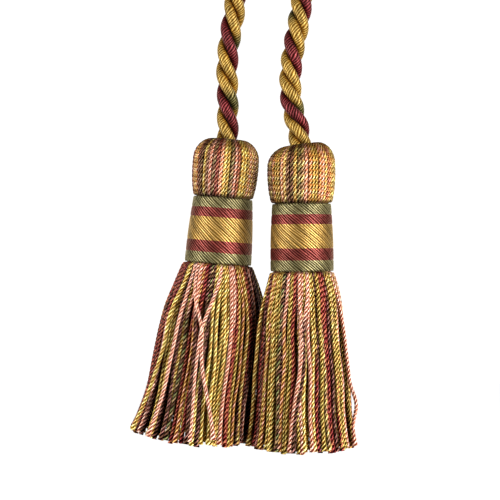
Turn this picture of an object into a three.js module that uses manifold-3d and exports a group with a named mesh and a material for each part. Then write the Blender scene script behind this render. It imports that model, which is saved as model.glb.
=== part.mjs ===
// A chair tie: one twisted cord with a yarn tassel on each end, hung by the middle of the cord.
// Millimetres, +Z up, +X to the right, +Y to the back. The origin is under the crown of the cord's loop.
import * as THREE from "three";
import { mergeVertices } from "three/addons/utils/BufferGeometryUtils.js";
import Module from "manifold-3d";

const { degToRad, lerp, smoothstep } = THREE.MathUtils;
const wasm = await Module();
wasm.setup();

// Sizes that both tassels and the cord share
const GAP = 0.3; // between pieces that touch
const MERGE_DISTANCE = 1e-4; // points closer than this are one
const CORD_RADIUS = 3.75;
const PLY_COUNT = 3;
const PLY_RADIUS = 1.77;
const PLY_GROOVE = 2.05; // the cord's radius in the groove between two plies
const LOBE_ANGLES_DEG = [-60, -30, 0, 30]; // points of one ply's lobe on the cord's section
const CORD_STEP = 2.9; // length of cord from one section to the next
const SOCKET_DEPTH = 2.6; // how far the cord's end is sunk in a head
const SOCKET_LIP = 0.5; // rounding of the socket's rim
const BAND_HEIGHT = 22;
const BAND_THICKNESS = 0.8;
const BAND_SWELL = 0.25; // the band is a little fuller at mid height
const BAND_SIDES = 42;
const HEAD_YARNS = 42;
const RIB_DEPTH = 0.4; // groove between two yarns of a head
const STRAND_SIDES = 3;
const STRAND_RADIUS = 0.85; // from a strand's middle to its corners
const ROOT_DEPTH = 2; // how far a strand starts above the band's lower edge
const ROOT_TAPER = 0.62; // share of its thickness that a strand has at its root
const NECK_END = 0.6; // how far the neck comes out below the band
const FLARE_LENGTH = 2; // the strands open out from under the band over this drop
const SWAY = 0.5; // how far a tip strays round the skirt, as a share of the strands' pitch
const REACH_SPREAD = 0.03; // how far the strands of a ring differ in reach, as a share of it
const LENGTH_SPREAD = 0.016;
const CROWN_Z = CORD_RADIUS; // the cord's middle line over the origin

// Each tassel stands in its own frame, with the origin at the middle of its band's upper edge.
// A skirt's outline is a row for each section: half widths to the left, right, front and back.
const TASSELS = [
  {
    side: "left",
    place: [-15.1, 5.5, -99.2],
    leanDeg: 4.5, // the foot swings out to the left
    headHeight: 19.8,
    headRadius: 11.3,
    shoulderSlope: 0,
    bandTop: 10,
    bandFoot: 11.3,
    strandLength: 60.6, // below the band
    skirt: [
      { drop: 0, left: 11.9, right: 11.9, depth: 11.9 },
      { drop: 7, left: 14.3, right: 14.7, depth: 14.3 },
      { drop: 18, left: 17.7, right: 17.4, depth: 17.0 },
      { drop: 30, left: 19.4, right: 17.1, depth: 18.0 },
      { drop: 42, left: 21.0, right: 16.7, depth: 18.8 },
      { drop: 50, left: 22.9, right: 16.1, depth: 19.5 },
      { drop: 58, left: 25.2, right: 15.6, depth: 20.3 },
    ],
  },
  {
    side: "right",
    place: [10.95, -5.5, -101.5],
    leanDeg: -0.5,
    headHeight: 19.5,
    headRadius: 11.3,
    shoulderSlope: 0.13, // the left shoulder is lower than the right one
    bandTop: 9.7,
    bandFoot: 10.4,
    strandLength: 58.5,
    skirt: [
      { drop: 0, left: 10.7, right: 10.7, depth: 10.7 },
      { drop: 7, left: 12.3, right: 12.7, depth: 12.6 },
      { drop: 18, left: 13.8, right: 13.8, depth: 14.2 },
      { drop: 30, left: 14.8, right: 14.9, depth: 15.6 },
      { drop: 42, left: 15.7, right: 16.2, depth: 16.8 },
      { drop: 50, left: 16.6, right: 16.8, depth: 17.6 },
      { drop: 58, left: 17.4, right: 17.2, depth: 18.4 },
    ],
  },
];

// A head's outline from the band up to the rim of its socket, as shares of its height and radius
const HEAD_OUTLINE = [
  { height: 0.02, radius: 0.88 },
  { height: 0.13, radius: 0.94 },
  { height: 0.36, radius: 0.99 },
  { height: 0.58, radius: 1.0 },
  { height: 0.74, radius: 0.98 },
  { height: 0.86, radius: 0.89 },
  { height: 0.95, radius: 0.74 },
  { height: 1.0, radius: 0.5 },
];

// Rings of strands from the outside in: a ring's share of the neck, of the skirt, and its strands' sections
const RINGS = [
  { count: 42, root: 1.0, share: 1.0, sections: [0.004, 0.035, 0.2, 0.46, 0.75, 1] },
  { count: 38, root: 0.8, share: 0.84, sections: [0.004, 0.035, 0.2, 0.46, 0.75, 1] },
  { count: 20, root: 0.6, share: 0.68, sections: [0.1, 0.5, 1] },
  { count: 10, root: 0.38, share: 0.48, sections: [0.1, 0.5, 1] },
  { count: 4, root: 0.14, share: 0.2, sections: [0.1, 0.5, 1] },
];

// Loose strands that lie on the skirt: angles in degrees round the tassel, 0 right and -90 front
const LOOSE_STRANDS = [
  { side: "left", root: -122, middle: -99, tip: -78 },
  { side: "left", root: -115, middle: -105, tip: -101 },
  { side: "left", root: -82, middle: -101, tip: -100 },
  { side: "left", root: -139, middle: -147, tip: -160 },
  { side: "left", root: 72, middle: 84, tip: 80 },
  { side: "right", root: -30, middle: -27, tip: -27 },
  { side: "right", root: -83, middle: -91, tip: -103 },
  { side: "right", root: -97, middle: -94, tip: -108 },
  { side: "right", root: 98, middle: 88, tip: 95 },
  { side: "right", root: 50, middle: 58, tip: 62 },
];
const LOOSE_LIFT = 1.5; // off the strands below
const LOOSE_SECTIONS = [0.004, 0.035, 0.2, 0.46, 0.75, 1];
const LOOSE_MIDDLE = 0.4; // share of the drop at which the middle angle is reached

// The cord's middle line from the left leg over the crown to the right leg
const CORD_ROUTE = [
  [-13.55, 5.4, -78.7],
  [-13.5, 4.8, -71],
  [-13.5, 4.3, -64],
  [-13.7, 3.8, -57],
  [-13.3, 3.2, -50],
  [-12.3, 2.6, -43],
  [-11.1, 2, -36],
  [-10.6, 1.5, -29],
  [-11.2, 1, -22],
  [-12.7, 0.6, -15],
  [-13.6, 0.3, -8],
  [-11.2, 0.1, -1.8],
  [-6.3, 0, 2.1],
  [0, 0, CROWN_Z],
  [6.6, 0, 2.2],
  [11.8, -0.1, -2],
  [14.4, -0.5, -8.4],
  [14.4, -1, -15.4],
  [13.3, -1.5, -22.4],
  [12.1, -1.9, -29],
  [10.9, -2.4, -36],
  [9.8, -2.9, -43],
  [8.4, -3.4, -50],
  [7.5, -3.9, -57],
  [7.3, -4.4, -64],
  [8.3, -4.9, -71],
  [10, -5.3, -77.5],
];
// Turns of the plies counted along the cord: slacker lay in the left leg than in the right one
const CORD_LAY = [
  { share: 0, turns: 0 },
  { share: 0.36, turns: 3.02 },
  { share: 0.64, turns: 5.7 },
  { share: 1, turns: 9.16 },
];
const FIRST_PLY_DEG = 165; // where the first ply stands at the cord's left end

const DYES = { cord: 0x9c6b2e, yarn: 0xa9823f, band: 0xb08a35 };

// A spread of values from -0.5 to 0.5 that never repeats from one number to the next
const GOLDEN_SHARE = 0.618034;
const SALT_SHARE = 0.414214;
const REACH_SALT = 3;
const LENGTH_SALT = 5;
const scatter = (number, salt) => ((number * GOLDEN_SHARE + salt * SALT_SHARE) % 1) - 0.5;

// The row of a table at a value of one column, each other column in proportion
function rowAt(table, column, value) {
  const after = table.findIndex((row) => row[column] >= value);
  const next = after < 0 ? table.length - 1 : Math.max(1, after);
  const [lower, upper] = [table[next - 1], table[next]];
  const share = (value - lower[column]) / (upper[column] - lower[column]);
  return Object.fromEntries(Object.keys(upper).map((key) => [key, lerp(lower[key], upper[key], share)]));
}

// A mesh from rings of points, listed upwards, each ring anticlockwise from above
function skinOfRings(rings, closeBy) {
  const sides = rings[0].length;
  const points = rings.flat();
  const triangles = [];
  const corner = (ring, side) => (ring % rings.length) * sides + (side % sides);
  const bands = closeBy === "loop" ? rings.length : rings.length - 1;
  for (let ring = 0; ring < bands; ring++) {
    for (let side = 0; side < sides; side++) {
      const [a, b] = [corner(ring, side), corner(ring, side + 1)];
      const [d, c] = [corner(ring + 1, side), corner(ring + 1, side + 1)];
      triangles.push(a, b, c, a, c, d);
    }
  }
  if (closeBy === "fans") {
    const last = rings.length - 1;
    const foot = points.push(middleOf(rings[0])) - 1;
    const top = points.push(middleOf(rings[last])) - 1;
    for (let side = 0; side < sides; side++) {
      triangles.push(foot, corner(0, side + 1), corner(0, side));
      triangles.push(top, corner(last, side), corner(last, side + 1));
    }
  }
  if (closeBy === "flats") {
    const last = rings.length - 1;
    for (let side = 1; side < sides - 1; side++) {
      triangles.push(corner(0, 0), corner(0, side + 1), corner(0, side));
      triangles.push(corner(last, 0), corner(last, side), corner(last, side + 1));
    }
  }
  const skin = new THREE.BufferGeometry().setFromPoints(points);
  skin.setIndex(triangles);
  return skin;
}

function middleOf(ring) {
  const sum = ring.reduce((total, point) => total.add(point), new THREE.Vector3());
  return sum.divideScalar(ring.length);
}

function solidOf(skin) {
  const merged = mergeVertices(skin, MERGE_DISTANCE);
  const vertProperties = merged.getAttribute("position").array;
  const triVerts = new Uint32Array(merged.index.array);
  return new wasm.Manifold(new wasm.Mesh({ numProp: 3, vertProperties, triVerts }));
}

function skinOf(solid) {
  const { vertProperties, triVerts } = solid.getMesh();
  const skin = new THREE.BufferGeometry();
  skin.setAttribute("position", new THREE.BufferAttribute(vertProperties, 3));
  skin.setIndex(new THREE.BufferAttribute(triVerts, 1));
  return skin;
}

// Head and neck: a ribbed barrel with a socket in its top, on a smooth neck that ends under the band
function bodyOutline(tassel) {
  const neckTop = tassel.bandTop - BAND_THICKNESS - GAP;
  const neckFoot = tassel.bandFoot - BAND_THICKNESS - GAP;
  const socketRadius = CORD_RADIUS + GAP;
  const barrel = HEAD_OUTLINE.map(({ height, radius }) => ({
    radius: radius * tassel.headRadius,
    z: height * tassel.headHeight,
    rib: height < 1 ? RIB_DEPTH : 0,
  }));
  return [
    { radius: neckFoot, z: -BAND_HEIGHT - NECK_END, rib: 0 },
    { radius: neckTop, z: GAP, rib: 0 },
    ...barrel,
    { radius: socketRadius + SOCKET_LIP, z: tassel.headHeight - SOCKET_LIP, rib: 0 },
    { radius: socketRadius, z: tassel.headHeight - SOCKET_DEPTH, rib: 0 },
  ];
}

function bodySolid(tassel) {
  const sides = 2 * HEAD_YARNS;
  const rings = bodyOutline(tassel).map(({ radius, z, rib }) =>
    Array.from({ length: sides }, (_, side) => {
      const angle = (2 * Math.PI * side) / sides;
      const reach = side % 2 ? radius - rib : radius;
      const x = reach * Math.cos(angle);
      const rise = Math.max(0, z / tassel.headHeight) ** 2;
      return new THREE.Vector3(x, reach * Math.sin(angle), z + tassel.shoulderSlope * x * rise);
    }),
  );
  return solidOf(skinOfRings(rings, "fans"));
}

// The middle of a strand at a drop below the band, in the tassel's frame
function strandPoint(tassel, strand, drop) {
  const outline = rowAt(tassel.skirt, "drop", Math.max(0, drop));
  const open = smoothstep(drop, 0, FLARE_LENGTH);
  const neck = tassel.bandFoot - BAND_THICKNESS - GAP - STRAND_RADIUS;
  const angle = strand.angleAt(drop / tassel.strandLength);
  const reach = (half) =>
    lerp(neck * strand.root, (half - STRAND_RADIUS) * strand.share + strand.lift, open);
  const x = reach(Math.cos(angle) < 0 ? outline.left : outline.right) * Math.cos(angle);
  const y = reach(outline.depth) * Math.sin(angle);
  return new THREE.Vector3(x, y, -BAND_HEIGHT - drop);
}

// The drop at which a strand of its own length ends, shorter the further it is thrown out
function tipDrop(tassel, strand) {
  let drop = strand.length;
  for (let round = 0; round < 3; round++) {
    const points = strand.sections.map((share) => strandPoint(tassel, strand, share * drop));
    const legs = points.slice(1).map((point, index) => point.distanceTo(points[index]));
    const first = strand.sections[0] * drop;
    drop *= strand.length / (first + legs.reduce((sum, leg) => sum + leg, 0));
  }
  return drop;
}

function strandSolid(tassel, strand) {
  const drop = tipDrop(tassel, strand);
  const drops = [-ROOT_DEPTH, ...strand.sections.map((share) => share * drop)];
  const rings = drops.map((down) => {
    const middle = strandPoint(tassel, strand, down);
    const outward = strand.angleAt(down / tassel.strandLength);
    const thickness = STRAND_RADIUS * lerp(ROOT_TAPER, 1, smoothstep(down, 0, FLARE_LENGTH));
    return Array.from({ length: STRAND_SIDES }, (_, side) => {
      const angle = outward + (2 * Math.PI * side) / STRAND_SIDES;
      const corner = new THREE.Vector3(Math.cos(angle), Math.sin(angle), 0);
      return corner.multiplyScalar(thickness).add(middle);
    });
  });
  return solidOf(skinOfRings(rings.reverse(), "flats"));
}

// Strands of one ring, each a little off its even place
function ringStrands(tassel, ring, ringNumber) {
  const pitch = (2 * Math.PI) / ring.count;
  return Array.from({ length: ring.count }, (_, number) => {
    const root = pitch * (number + 0.5 * (ringNumber % 2));
    const sway = SWAY * pitch * scatter(number, ringNumber);
    return {
      root: ring.root,
      share: ring.share * (1 + REACH_SPREAD * scatter(number, ringNumber + REACH_SALT)),
      lift: 0,
      length: tassel.strandLength * (1 + LENGTH_SPREAD * scatter(number, ringNumber + LENGTH_SALT)),
      sections: ring.sections,
      angleAt: (share) => root + sway * Math.max(0, share),
    };
  });
}

function looseStrands(tassel) {
  return LOOSE_STRANDS.filter((row) => row.side === tassel.side).map((row, number) => ({
    root: 1,
    share: 1,
    lift: LOOSE_LIFT,
    length: tassel.strandLength * (1 + LENGTH_SPREAD * scatter(number, LENGTH_SALT)),
    sections: LOOSE_SECTIONS,
    angleAt: (share) => {
      const low = share > LOOSE_MIDDLE;
      const [from, to] = low ? [row.middle, row.tip] : [row.root, row.middle];
      const along = low ? (share - LOOSE_MIDDLE) / (1 - LOOSE_MIDDLE) : share / LOOSE_MIDDLE;
      return degToRad(lerp(from, to, smoothstep(along, 0, 1)));
    },
  }));
}

function tasselSkin(tassel) {
  const rings = RINGS.flatMap((ring, number) => ringStrands(tassel, ring, number));
  const strands = [...rings, ...looseStrands(tassel)];
  const solids = strands.map((strand) => strandSolid(tassel, strand));
  return skinOf(wasm.Manifold.union([bodySolid(tassel), ...solids]));
}

// Woven band round the neck
function bandSkin(tassel) {
  const middle = (tassel.bandTop + tassel.bandFoot) / 2 + BAND_SWELL;
  const outline = [
    { radius: tassel.bandFoot, z: -BAND_HEIGHT },
    { radius: middle, z: -BAND_HEIGHT / 2 },
    { radius: tassel.bandTop, z: 0 },
    { radius: tassel.bandTop - BAND_THICKNESS, z: 0 },
    { radius: tassel.bandFoot - BAND_THICKNESS, z: -BAND_HEIGHT },
  ];
  const rings = outline.map(({ radius, z }) =>
    Array.from({ length: BAND_SIDES }, (_, side) => {
      const angle = (2 * Math.PI * side) / BAND_SIDES;
      return new THREE.Vector3(radius * Math.cos(angle), radius * Math.sin(angle), z);
    }),
  );
  return skinOfRings(rings, "loop");
}

// Radius of the cord's three-lobed section at an angle from the middle of the nearest ply
function lobeRadius(angle) {
  const plyMiddle = CORD_RADIUS - PLY_RADIUS;
  const across = plyMiddle * Math.sin(angle);
  const outer = plyMiddle * Math.cos(angle) + Math.sqrt(Math.max(0, PLY_RADIUS ** 2 - across ** 2));
  return Math.max(PLY_GROOVE, outer);
}

function cordSkin(route) {
  const curve = new THREE.CatmullRomCurve3(route);
  const steps = Math.round(curve.getLength() / CORD_STEP);
  const frames = curve.computeFrenetFrames(steps);
  const lobeAngles = LOBE_ANGLES_DEG.map(degToRad);
  const rings = Array.from({ length: steps + 1 }, (_, step) => {
    const middle = curve.getPointAt(step / steps);
    const turns = rowAt(CORD_LAY, "share", step / steps).turns;
    const twist = degToRad(FIRST_PLY_DEG) - 2 * Math.PI * turns;
    const ring = [];
    for (let ply = 0; ply < PLY_COUNT; ply++) {
      for (const offset of lobeAngles) {
        const angle = twist + (2 * Math.PI * ply) / PLY_COUNT + offset;
        const point = middle.clone();
        point.addScaledVector(frames.normals[step], lobeRadius(offset) * Math.cos(angle));
        point.addScaledVector(frames.binormals[step], lobeRadius(offset) * Math.sin(angle));
        ring.push(point);
      }
    }
    return ring;
  });
  return skinOfRings(rings, "fans");
}

function dyed(name, skin, color) {
  const material = new THREE.MeshStandardMaterial({ color, roughness: 0.6, metalness: 0 });
  const mesh = new THREE.Mesh(skin, material);
  mesh.name = name;
  return mesh;
}

const chairTie = new THREE.Group();
const cordEnds = TASSELS.map((tassel) => {
  const hung = new THREE.Group();
  hung.position.set(...tassel.place);
  hung.rotation.y = degToRad(tassel.leanDeg);
  hung.add(dyed(`tassel_${tassel.side}`, tasselSkin(tassel), DYES.yarn));
  hung.add(dyed(`band_${tassel.side}`, bandSkin(tassel), DYES.band));
  chairTie.add(hung);
  hung.updateMatrixWorld(true);
  return hung.localToWorld(new THREE.Vector3(0, 0, tassel.headHeight - SOCKET_DEPTH + GAP));
});
const legs = CORD_ROUTE.map((point) => new THREE.Vector3(...point));
chairTie.add(dyed("cord", cordSkin([cordEnds[0], ...legs, cordEnds[1]]), DYES.cord));

export default chairTie;
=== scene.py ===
"""A chair tie: a twisted cord with a yarn tassel on each end, dressed over its solids.

Sizes are in millimetres and are turned into metres where a mesh is made.
"""
import math

import bpy
import numpy as np
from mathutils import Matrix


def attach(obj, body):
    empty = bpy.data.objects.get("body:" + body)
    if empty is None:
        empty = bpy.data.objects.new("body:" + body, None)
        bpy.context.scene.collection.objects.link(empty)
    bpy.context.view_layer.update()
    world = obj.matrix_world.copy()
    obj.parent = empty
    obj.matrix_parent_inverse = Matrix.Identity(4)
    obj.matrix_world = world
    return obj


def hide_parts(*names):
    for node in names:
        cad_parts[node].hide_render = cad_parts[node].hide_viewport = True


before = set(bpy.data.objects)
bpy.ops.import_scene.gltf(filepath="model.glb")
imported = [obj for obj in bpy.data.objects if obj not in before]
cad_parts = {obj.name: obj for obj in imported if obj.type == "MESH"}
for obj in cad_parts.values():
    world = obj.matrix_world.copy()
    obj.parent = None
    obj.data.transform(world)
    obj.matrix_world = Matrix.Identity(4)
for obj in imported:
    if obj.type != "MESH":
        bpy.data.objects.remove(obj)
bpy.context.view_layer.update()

METRES = 0.001
TURN = 2 * math.pi
ROUNDING = 1e-6  # what sums of sizes and shares may be off by

# Sizes that several pieces share
CORD_RADIUS = 3.75
PIECE_GAP = 0.3  # left free between pieces
BAND_HEIGHT = 22.0
BAND_THICKNESS = 0.8
YARN_RADIUS = 0.66
YARN_PLIES = 3
YARN_PITCH = 4.7
YARN_GROOVE = 0.55  # depth of the grooves between plies, as a share of the radius

# Each tassel in its own frame, with the origin at the middle of its band's upper edge
# A row of a skirt is a drop below the band, half widths to the left and right, and half a depth
TASSELS = {
    "left": {
        "place": (-15.1, 5.5, -99.2),
        "lean_deg": 4.5,
        "head_height": 19.8,
        "shoulder_slope": 0.0,
        "band_top": 10.0,
        "band_foot": 11.3,
        "strand_length": 60.6,
        "skirt": (
            (0, 11.9, 11.9, 11.9),
            (7, 14.3, 14.7, 14.3),
            (18, 17.7, 17.4, 17.0),
            (30, 19.4, 17.1, 18.0),
            (42, 21.0, 16.7, 18.8),
            (50, 22.9, 16.1, 19.5),
            (58, 25.2, 15.6, 20.3),
        ),
    },
    "right": {
        "place": (10.95, -5.5, -101.5),
        "lean_deg": -0.5,
        "head_height": 19.5,
        "shoulder_slope": 0.13,
        "band_top": 9.7,
        "band_foot": 10.4,
        "strand_length": 58.5,
        "skirt": (
            (0, 10.7, 10.7, 10.7),
            (7, 12.3, 12.7, 12.6),
            (18, 13.8, 13.8, 14.2),
            (30, 14.8, 14.9, 15.6),
            (42, 15.7, 16.2, 16.8),
            (50, 16.6, 16.8, 17.6),
            (58, 17.4, 17.2, 18.4),
        ),
    },
}


# Dyes and yarns


def srgb(red, green, blue):
    """A dye from its 0 to 255 screen values, as linear numbers."""
    screen = np.array((red, green, blue)) / 255
    return np.where(screen <= 0.04045, screen / 12.92, ((screen + 0.055) / 1.055) ** 2.4)


DYES = {
    "gold": srgb(198, 160, 90),
    "straw": srgb(222, 204, 132),
    "olive": srgb(172, 150, 82),
    "moss": srgb(112, 114, 72),
    "sage": srgb(156, 128, 92),
    "salmon": srgb(212, 158, 134),
    "pink": srgb(222, 180, 162),
    "brick": srgb(160, 90, 66),
    "wine": srgb(130, 50, 50),
    "plum": srgb(132, 88, 80),
    "tan": srgb(194, 147, 84),
    "umber": srgb(86, 56, 40),
}
CORD_DYES = {
    "gold": srgb(125, 98, 41),
    "wine": srgb(78, 22, 24),
    "moss": srgb(72, 66, 33),
}
BRAID_DYES = {
    "moss": srgb(109, 101, 69),
    "wine": srgb(103, 47, 42),
    "gold": srgb(147, 117, 63),
}

# Yarns by the dyes of their three plies
YARNS = {
    "gold": "gold gold straw",
    "straw": "straw straw gold",
    "olive": "olive gold olive",
    "moss": "moss umber sage",
    "sage": "sage sage straw",
    "salmon": "salmon salmon pink",
    "pink": "pink pink salmon",
    "brick": "brick brick wine",
    "wine": "wine brick wine",
    "plum": "plum plum umber",
    "tan": "tan tan salmon",
    "umber": "umber plum umber",
}

# Yarns round each tassel: the front from left to right, then the back from right to left
HEAD_FRONTS = {
    "left": (
        "wine wine umber tan sage tan plum umber straw plum salmon moss wine salmon "
        "straw olive moss pink brick straw straw olive salmon straw salmon straw tan umber"
    ),
    "right": (
        "umber moss umber sage umber tan olive olive salmon straw plum umber gold moss "
        "sage salmon tan gold olive tan salmon straw brick tan olive sage olive sage"
    ),
}
SKIRT_FRONTS = {
    "left": (
        "umber brick umber wine umber brick plum wine plum olive gold plum pink plum gold "
        "olive brick tan wine plum moss umber sage straw olive straw gold salmon pink olive "
        "olive tan gold brick brick plum umber plum umber umber plum umber umber"
    ),
    "right": (
        "umber plum umber wine plum umber brick gold tan olive gold olive olive moss umber "
        "moss olive olive brick pink tan salmon umber salmon straw olive umber olive brick "
        "tan wine plum olive sage olive olive tan olive brick tan salmon pink salmon"
    ),
}
BACK_YARNS = (
    "gold olive brick straw plum salmon gold sage tan wine gold pink umber gold olive "
    "salmon plum gold straw brick olive"
)
# Yarns that turn up out of turn among them
STRAY_YARNS = "gold salmon olive straw plum gold pink tan brick gold sage straw umber salmon"

# Steps of the two kinds of irregular values
GOLDEN_STEP = 0.618034
GOLDEN_SALT = 0.414214
SINE_STEP = 12.9898
SINE_SALT = 78.233
SINE_GAIN = 43758.5453


def scatter(numbers, salt):
    """Even but irregular values from -0.5 to 0.5; the salt tells one use from another."""
    return (numbers * GOLDEN_STEP + salt * GOLDEN_SALT) % 1 - 0.5


def chance(numbers, salt):
    """Values from -0.5 to 0.5 that look drawn at random, the same ones each time."""
    return np.sin(numbers * SINE_STEP + salt * SINE_SALT) * SINE_GAIN % 1 - 0.5


def yarn_kinds(front, angles, salt, stray_share):
    """Names of the yarns at angles round a tassel, a share of them strays from elsewhere."""
    halves = BACK_YARNS.split(), front.split()
    strays = STRAY_YARNS.split()
    number = np.arange(len(angles))
    share = 2 * (angles / TURN % 1)
    half = np.floor(share).astype(int)
    stray = np.floor((scatter(number, salt + 20) + 0.5) * len(strays)).astype(int)
    is_stray = scatter(number * 3, salt + 21) + 0.5 < stray_share
    names = []
    for yarn in number:
        order = halves[half[yarn]]
        place = int((share[yarn] - half[yarn]) * len(order) + ROUNDING)
        names.append(strays[stray[yarn]] if is_stray[yarn] else order[place])
    return names


def ply_dyes(kinds):
    """Dyes of the plies of each named yarn, (yarns, plies, 3)."""
    return np.array([[DYES[dye] for dye in YARNS[kind].split()] for kind in kinds])


def yarn_tint(dyes, ply_points):
    """Tints round yarns from their plies' dyes; a groove has the mean of the plies beside it."""
    tint = np.repeat(dyes, ply_points, axis=-2)
    tint[..., ::ply_points, :] = 0.5 * (dyes + np.roll(dyes, 1, axis=-2))
    return tint


# Shared shapes


def ease(values, start, end):
    """A smooth rise from 0 at the start to 1 at the end."""
    share = np.clip((values - start) / (end - start), 0, 1)
    return share * share * (3 - 2 * share)


def smooth_through(values, knots, heights):
    """A cubic curve through knots, its slope at each knot from the knots beside it."""
    slopes = np.gradient(heights, knots, axis=0)
    left = np.clip(np.searchsorted(knots, values) - 1, 0, len(knots) - 2)
    width = knots[left + 1] - knots[left]
    share = (values - knots[left]) / width
    if heights.ndim > 1:
        width, share = width[..., None], share[..., None]
    rise = heights[left + 1] - heights[left]
    start = slopes[left] * width
    end = slopes[left + 1] * width
    return heights[left] + share * (
        start + share * (3 * rise - 2 * start - end + share * (start + end - 2 * rise))
    )


def lengths_along(line):
    """Length from the first point of a line to each point."""
    legs = np.linalg.norm(np.diff(line, axis=-2), axis=-1)
    return np.concatenate([np.zeros(legs.shape[:-1] + (1,)), np.cumsum(legs, axis=-1)], axis=-1)


def sampled(knots, samples):
    """Points along a smooth line through knots."""
    at = lengths_along(knots)
    return smooth_through(np.linspace(0, at[-1], samples), at, knots)


def unit(vectors):
    return vectors / np.linalg.norm(vectors, axis=-1, keepdims=True)


def hung(tassel, points):
    """Points of a tassel's own frame where the tassel hangs."""
    lean = math.radians(tassel["lean_deg"])
    turned = points.copy()
    turned[..., 0] = points[..., 0] * math.cos(lean) + points[..., 2] * math.sin(lean)
    turned[..., 2] = points[..., 2] * math.cos(lean) - points[..., 0] * math.sin(lean)
    return turned + tassel["place"]


def round_about(lines, outward, angles, reach):
    """Points at angles round lines, counted from outward, (lines, rings, points round, 3)."""
    ahead = unit(np.gradient(lines, axis=1))
    normal = unit(outward - np.sum(outward * ahead, axis=-1, keepdims=True) * ahead)
    across = np.cross(ahead, normal)
    return (
        lines[..., None, :]
        + (reach * np.cos(angles))[..., None] * normal[..., None, :]
        + (reach * np.sin(angles))[..., None] * across[..., None, :]
    )


def rope(lines, radius, outward, ply_points, pitch, start):
    """Points of twisted yarns along lines, and how near each is to a ply's crest."""
    along = lengths_along(lines)
    place = np.tile(np.linspace(-1, 1, ply_points, endpoint=False), YARN_PLIES)
    angles = TURN * (np.repeat(np.arange(YARN_PLIES), ply_points) + place / 2) / YARN_PLIES
    angles = angles + (TURN * along / pitch + start)[..., None]
    reach = radius[..., None] * (1 - YARN_GROOVE * place**2)
    points = round_about(lines, outward, angles, reach)
    return points, np.broadcast_to(1 - place**2, points.shape[:-1])


# Meshes

CAP_STRIP = 0.02  # half the share of a tube's tile that a cap takes at each end
CAP_HALF_WIDTH = 0.4  # as a share of the tile
CAP_HALF_HEIGHT = 0.6  # as a share of the strip
TILE_INSET = 0.02


def tube_faces(count, rings, sides, first):
    """Corners of the quads round each tube, and of the two caps that close it."""
    here = first + np.arange(count * rings * sides).reshape(count, rings, sides)
    after = np.roll(here, -1, axis=2)
    quads = np.stack([here[:, :-1], after[:, :-1], after[:, 1:], here[:, 1:]], axis=-1)
    return quads, np.stack([here[:, 0, ::-1], here[:, -1]], axis=1)


def corner_map(columns, along):
    """Columns and lengths at the corners of the quads between rows at lengths along."""
    column = np.arange(columns)
    across = np.stack([column, column + 1, column + 1, column], axis=-1)
    low, high = along[..., :-1], along[..., 1:]
    up = np.stack([low, low, high, high], axis=-1)[..., None, :]
    return np.stack(np.broadcast_arrays(across, up), axis=-1)


def tube_maps(sides, along):
    """Places round and along each tube at the corners of its quads and caps."""
    turn = TURN * np.arange(sides) / sides
    disc = np.stack([0.5 + CAP_HALF_WIDTH * np.cos(turn), np.sin(turn)], axis=-1)
    discs = np.broadcast_to(np.stack([disc[::-1], disc]), (len(along), 2, sides, 2))
    return corner_map(sides, along) / (sides, 1), discs


def tile_shape(points):
    """Length of tubes over their girth."""
    length = lengths_along(points.mean(axis=2))[:, -1].mean()
    radius = np.linalg.norm(points - points.mean(axis=2, keepdims=True), axis=-1).max()
    return length / (TURN * radius)


def tiles(count, shape):
    """Lower corners and size of a tile for each tube; shape is a tile's height over its width."""
    rows = max(1, round(math.sqrt(count / shape)))
    columns = math.ceil(count / rows)
    number = np.arange(count)
    corners = np.stack([number % columns / columns, number // columns / rows], axis=-1)
    return corners, np.array([1 / columns, 1 / rows])


def on_tiles(quads, discs, along, corners, size):
    """The bake's map: each tube unrolled on a tile of its own, its caps at the tile's ends."""
    full = along.max(axis=1)[:, None, None, None]
    across = TILE_INSET + (1 - 2 * TILE_INSET) * quads[..., 0]
    up = 2 * CAP_STRIP + (1 - 4 * CAP_STRIP) * quads[..., 1] / full
    sides = np.stack([across, up], axis=-1) * size + corners[:, None, None, None, :]
    ends = np.array([CAP_STRIP, 1 - CAP_STRIP])[None, :, None]
    lift = ends + CAP_HALF_HEIGHT * CAP_STRIP * discs[..., 1]
    caps = np.stack([discs[..., 0], lift], axis=-1) * size + corners[:, None, None, :]
    return sides, caps


def tube_mesh(name, groups, material):
    """One piece of many tubes, from groups of points, tints and crests."""
    corners_of, totals, smooth, yarn_map, bake_map = [], [], [], [], []
    shape = np.mean([tile_shape(group["points"]) for group in groups])
    corners, size = tiles(sum(len(group["points"]) for group in groups), shape)
    first_point, first_tube = 0, 0
    for group in groups:
        count, rings, sides, _ = group["points"].shape
        along = lengths_along(group["points"].mean(axis=2))
        quads, caps = tube_faces(count, rings, sides, first_point)
        quad_map, cap_map = tube_maps(sides, along)
        tile = corners[first_tube:first_tube + count]
        bake_quads, bake_caps = on_tiles(quad_map, cap_map, along, tile, size)
        for faces, own, bake, is_smooth in (
            (quads, quad_map, bake_quads, True),
            (caps, cap_map, bake_caps, False),
        ):
            face_corners = faces.shape[-1]
            face_count = faces.size // face_corners
            corners_of.append(faces.ravel())
            totals.append(np.full(face_count, face_corners))
            smooth.append(np.full(face_count, is_smooth))
            yarn_map.append(own.reshape(-1, 2))
            bake_map.append(bake.reshape(-1, 2))
        first_point += count * rings * sides
        first_tube += count
    points = np.concatenate([group["points"].reshape(-1, 3) for group in groups])
    tint = np.concatenate([group["tint"].reshape(-1, 3) for group in groups])
    crest = np.concatenate([group["crest"].ravel() for group in groups])
    mesh = filled_mesh(name, points, np.concatenate(corners_of), np.concatenate(totals))
    mesh.polygons.foreach_set("use_smooth", np.concatenate(smooth))
    add_uv(mesh, "yarn", np.concatenate(yarn_map))
    add_uv(mesh, "OFBake", np.concatenate(bake_map))
    add_tint(mesh, tint)
    add_crest(mesh, crest)
    mesh.update(calc_edges=True)
    crease_grooves(mesh, crest)
    return finished_piece(name, mesh, [material])


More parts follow.
